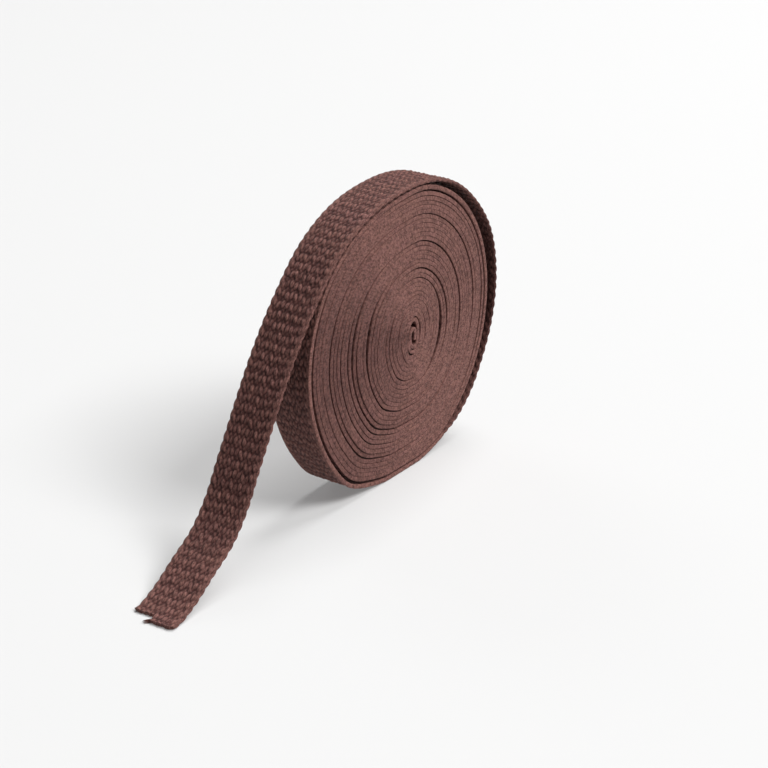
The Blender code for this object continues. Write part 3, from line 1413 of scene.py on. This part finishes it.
@dataclass(frozen=True)
class WovenFinish:
    """Matt mauve-brown polyester yarn, with shade painted darker and redder down between the
    grains.

    Lengths are in millimetres. The fibres' noise is read at a place that is stretched along
    the yarns: the face and edge runs scale it along the strap, side_scale across, and
    side_lean slants it on the broad faces.
    """

    name: str = "woven_mauve_brown"
    crown: Color = (0.172, 0.075, 0.069, 1.0)
    warm: Color = (0.166, 0.076, 0.056, 1.0)
    # Painted shade: colour for the bottom of the weave's pits.
    pit_shade: Color = (0.050, 0.015, 0.013, 1.0)
    dark_speck: Color = (0.45, 0.41, 0.41, 1.0)
    bright_speck: Color = (1.45, 1.50, 1.52, 1.0)
    dark_speck_stop: float = 0.41
    bright_speck_stop: float = 0.59
    slope_stop: float = 0.30
    slope_grey: Color = (0.42, 0.42, 0.42, 1.0)
    crown_stop: float = 0.75
    patch_noise: NoiseForm = NoiseForm(0.14, 2.0)
    yarn_noise: NoiseForm = NoiseForm(1.05, 3.0)
    speck_noise: NoiseForm = NoiseForm(2.6, 2.0)
    noise_roughness: float = 0.65
    yarn_share: float = 0.6
    speck_share: float = 0.4
    speck_relief: float = 0.6
    face_run: float = 0.75
    edge_run: float = 1.7
    edge_depth_run: float = 0.5
    side_scale: float = 2.1
    side_lean: float = 0.25
    depth_scale: float = 0.9
    noise_middle: float = 0.5
    roughness_swing: float = 0.15
    roughness: float = 0.80
    sheen: float = 0.04
    specular: float = 0.22
    sheen_roughness: float = 0.45
    edge_begins: float = 6.6
    edge_sharpness: float = 5.0
    fibre_relief: float = 0.00006

    def noise(
        self, shader: Shader, place: bpy.types.NodeSocket, form: NoiseForm
    ) -> ShaderValue:
        """Read a noise at a place on the strap.

        Args:
            shader: the shader to add to.
            place: the place, as a vector.
            form: the noise's scale and detail.

        Returns:
            The noise, from 0 to 1.
        """
        inputs = {
            "Vector": place,
            "Scale": form.scale,
            "Detail": form.detail,
            "Roughness": self.noise_roughness,
        }
        return shader.value(shader.node("ShaderNodeTexNoise", {}, inputs).outputs[0])

    def ramp(
        self, shader: Shader, value: ShaderValue, *stops: tuple[float, Color]
    ) -> bpy.types.NodeSocket:
        """Turn a number into a colour through stops and give the colour's socket."""
        return shader.node("ShaderNodeValToRGB", {"stops": list(stops)}, {0: value}).outputs[0]

    def material(self) -> bpy.types.Material:
        """Build the yarn's colour, roughness and fine relief.

        Returns:
            The finished material.
        """
        shader = Shader(self.name)
        place = shader.attribute(PLACE_ATTRIBUTE, "Vector")
        height = shader.value(shader.attribute(HEIGHT_AND_SHADE_ATTRIBUTE, "Fac"))
        parts = shader.node("ShaderNodeSeparateXYZ", {}, {0: place}).outputs
        along, across, depth = [shader.value(parts[index]) for index in range(3)]
        edge = ((across.absolute() - self.edge_begins) * self.edge_sharpness).limited()
        on_face = 1.0 - edge
        run = along * (self.face_run * on_face + self.edge_run * edge)
        run = run + depth * (self.edge_depth_run * edge)
        side = across * self.side_scale + along * (self.side_lean * on_face)
        yarn_place = shader.node(
            "ShaderNodeCombineXYZ", {}, {0: run, 1: side, 2: depth * self.depth_scale}
        ).outputs[0]
        patches = self.noise(shader, place, self.patch_noise)
        yarns = self.noise(shader, yarn_place, self.yarn_noise)
        specks = self.noise(shader, yarn_place, self.speck_noise)
        base = shader.mix(patches, self.warm, self.crown)
        # Painted shade: the lower the weave's height, the more the colour turns to the dark,
        # redder pit colour.
        low = self.ramp(
            shader,
            height,
            (0.0, BLACK),
            (self.slope_stop, self.slope_grey),
            (self.crown_stop, WHITE),
        )
        shaded = shader.mix(shader.value(low), self.pit_shade, base)
        speckle = yarns * self.yarn_share + specks * self.speck_share
        tint = self.ramp(
            shader,
            speckle,
            (self.dark_speck_stop, self.dark_speck),
            (self.bright_speck_stop, self.bright_speck),
        )
        coloured = shader.mix(1.0, shaded, tint, Blend.MULTIPLY)
        shader.feed(shader.surface.inputs["Base Color"], coloured)
        swing = (yarns - self.noise_middle) * self.roughness_swing
        shader.feed(shader.surface.inputs["Roughness"], self.roughness + swing)
        shader.feed(shader.surface.inputs["Specular IOR Level"], self.specular)
        shader.feed(shader.surface.inputs["Sheen Weight"], self.sheen)
        shader.feed(shader.surface.inputs["Sheen Roughness"], self.sheen_roughness)
        relief = shader.node(
            "ShaderNodeBump",
            {},
            {
                "Strength": 1.0,
                "Distance": self.fibre_relief,
                "Height": yarns + specks * self.speck_relief,
            },
        ).outputs[0]
        shader.feed(shader.surface.inputs["Normal"], relief)
        return shader.material


@dataclass(frozen=True)
class FloorFinish:
    """Plain white studio floor, lit a little from below like a light table."""

    name: str = "pale_floor"
    color: Color = (0.51, 0.51, 0.509, 1.0)
    roughness: float = 0.95
    glow: float = 0.15

    def material(self) -> bpy.types.Material:
        """Build the floor's finish.

        Returns:
            The finished material.
        """
        shader = Shader(self.name)
        shader.feed(shader.surface.inputs["Base Color"], self.color)
        shader.feed(shader.surface.inputs["Roughness"], self.roughness)
        shader.feed(shader.surface.inputs["Specular IOR Level"], 0.0)
        shader.feed(shader.surface.inputs["Emission Color"], WHITE)
        shader.feed(shader.surface.inputs["Emission Strength"], self.glow)
        return shader.material


@dataclass
class StrapRoll:
    """The whole strap, from the folded heart to the cut tip, in stretches."""

    winding: Winding
    weave: Weave
    finish: bpy.types.Material
    inner_stretches: int = 3
    inner_stations: int = 8
    outer_stations: int = 12
    loose_stations: int = 15
    # Painted shade on the lifted turn's right side and on the free end's slope.
    right_shade: Shade = Shade(spread=0.042, loss=0.72)
    slope_shade: Shade = Shade(spread=0.024, loss=0.30)
    width: float = 0.014

    def build(self) -> list[bpy.types.Object]:
        """Returns:
            The pieces, from the heart outward.
        """
        route, places = self.winding.build()
        weave = replace(self.weave, open_place=places.bend)
        pieces = []
        cuts = np.linspace(0.0, places.last_lap, self.inner_stretches + 1)
        for index in range(self.inner_stretches):
            inner = StrapStretch(
                f"wound_turns_{index + 1}", route, weave, cuts[index], cuts[index + 1],
                Detail.EDGES_ONLY, PRESSED_EDGE, self.inner_stations,
            )
            pieces.append(self.dress(inner, "wound_roll"))
        outermost = StrapStretch(
            "outermost_wound_turn", route, weave, places.last_lap, places.loose,
            Detail.OUTER_FACE, OUTERMOST_EDGE, self.outer_stations,
        )
        pieces.append(self.dress(outermost, "wound_roll"))
        middle = (places.loose + places.tip) / 2
        lifted = StrapStretch(
            "lifted_last_turn", route, weave, places.loose, middle,
            Detail.BOTH_FACES, LOOSE_EDGE, self.loose_stations,
            shaded_place=places.right_side, shade=self.right_shade,
        )
        pieces.append(self.dress(lifted, "loose_end"))
        yarns = CutYarns(route, self.winding.tip_step).build()
        yarns.data.materials.append(self.finish)
        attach(yarns, BODY)
        log.info("%s: %d faces", yarns.name, len(yarns.data.polygons))
        free = StrapStretch(
            "free_end", route, weave, middle, places.tip,
            Detail.BOTH_FACES, LOOSE_EDGE, self.loose_stations, tip_step=self.winding.tip_step,
            shaded_place=places.slope, shade=self.slope_shade,
        )
        pieces.append(self.dress(free, "loose_end"))
        return [*pieces, yarns]

    def dress(
        self,
        stretch: StrapStretch,
        node: str,
    ) -> bpy.types.Object:
        """Build a stretch, give it its finish, attach it to the body and hide the construction
        solid that it stands for.

        Args:
            stretch: the stretch to build.
            node: the construction solid that it stands for.

        Returns:
            The finished piece.
        """
        piece = stretch.build()
        piece.data.materials.append(self.finish)
        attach(piece, BODY)
        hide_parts(node)
        length = stretch.end - stretch.begin
        log.info("%s: %.3f m of strap, %d faces", piece.name, length, len(piece.data.polygons))
        return piece


class SoftLight(NamedTuple):
    """A square soft light: which way it hangs, how far off, its side, power and shadow."""

    name: str
    direction: tuple[float, float, float]
    distance: float
    size: float
    power: float
    shadow: bool


@dataclass
class Studio:
    """White floor, soft lights and the camera at the photograph's angle."""

    centre: Vector
    aim_height: float = 0.02609
    azimuth: float = -53.816
    elevation: float = 24.083
    roll: float = 0.088
    distance: float = 0.5045
    lens: float = 82.22
    sensor_width: float = 36.0
    nearest: float = 0.01
    floor_size: float = 12.0
    world_strength: float = 0.10
    lights: tuple[SoftLight, ...] = (
        SoftLight("key_light", (0.14, -0.62, 0.77), 4.0, 1.8, 168.0, True),
        SoftLight("top_light", (0.45, -0.02, 0.89), 4.0, 2.0, 115.0, True),
        SoftLight("back_light", (0.30, 0.80, 0.50), 4.0, 2.0, 38.0, False),
    )

    @property
    def target(self) -> Vector:
        """The point that the camera and the lights face."""
        return Vector((self.centre.x, self.centre.y, self.aim_height))

    def build(self) -> None:
        """Set up floor, lights, world and camera."""
        bpy.context.scene.view_settings.view_transform = "Standard"
        self.add_floor()
        for light in self.lights:
            self.add_light(light)
        self.add_world()
        self.add_camera()
        log.info("studio: floor, %d lights, world and camera", len(self.lights))

    def add_floor(self) -> None:
        """Lay the floor."""
        half = self.floor_size / 2
        mesh = bpy.data.meshes.new("studio_floor")
        corners = [(-half, -half, 0), (half, -half, 0), (half, half, 0), (-half, half, 0)]
        mesh.from_pydata(corners, [], [(0, 1, 2, 3)])
        mesh.materials.append(FloorFinish().material())
        floor = bpy.data.objects.new("studio_floor", mesh)
        bpy.context.scene.collection.objects.link(floor)

    def add_light(self, light: SoftLight) -> None:
        """Hang one soft light so that it faces the roll.

        Args:
            light: the light's place, size and power.
        """
        lamp = bpy.data.lights.new(light.name, "AREA")
        lamp.size = light.size
        lamp.energy = light.power
        lamp.use_shadow = light.shadow
        holder = bpy.data.objects.new(light.name, lamp)
        away = Vector(light.direction).normalized()
        holder.location = self.target + away * light.distance
        holder.rotation_euler = (-away).to_track_quat("-Z", "Y").to_euler()
        bpy.context.scene.collection.objects.link(holder)

    def add_world(self) -> None:
        """Give the room a plain pale light all round."""
        world = bpy.data.worlds.new("pale_room")
        world.use_nodes = True
        background = world.node_tree.nodes["Background"]
        background.inputs["Color"].default_value = WHITE
        background.inputs["Strength"].default_value = self.world_strength
        bpy.context.scene.world = world

    def add_camera(self) -> None:
        """Place the camera where the photograph was taken from."""
        turn = math.radians(self.azimuth)
        rise = math.radians(self.elevation)
        level = math.cos(rise)
        back = Vector((math.sin(turn) * level, -math.cos(turn) * level, math.sin(rise)))
        camera_data = bpy.data.cameras.new("camera")
        camera_data.lens = self.lens
        camera_data.sensor_width = self.sensor_width
        camera_data.clip_start = self.nearest
        camera = bpy.data.objects.new("camera", camera_data)
        aim = (-back).to_track_quat("-Z", "Y").to_matrix()
        lean = Matrix.Rotation(math.radians(self.roll), 3, "Z")
        placed = (aim @ lean).to_4x4()
        placed.translation = self.target + back * self.distance
        camera.matrix_world = placed
        bpy.context.scene.collection.objects.link(camera)
        bpy.context.scene.camera = camera


def roll_centre(winding_type: type[Winding]) -> Vector:
    """Find the roll's centre from the construction solids.

    Args:
        winding_type: the class that holds the roll's sizes.

    Returns:
        The centre, on the roll's axis at its middle.
    """
    radius = winding_type.radius
    tip_low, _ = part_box("loose_end")
    roll_low, roll_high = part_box("wound_roll")
    reach = -winding_type.free_end[-1].x * radius
    height = winding_type.flat_spot_drop * radius
    return Vector((tip_low.x + reach, (roll_low.y + roll_high.y) / 2, height))


def main() -> None:
    """Dress the strap, then light it and set the camera."""
    logging.basicConfig(level=logging.INFO, format="%(name)s: %(message)s")
    centre = roll_centre(Winding)
    Studio(centre).build()
    roll = StrapRoll(Winding(centre=centre), Weave(), WovenFinish().material())
    pieces = roll.build()
    log.info("strap roll: %d pieces", len(pieces))


if __name__ == "__main__":
    main()
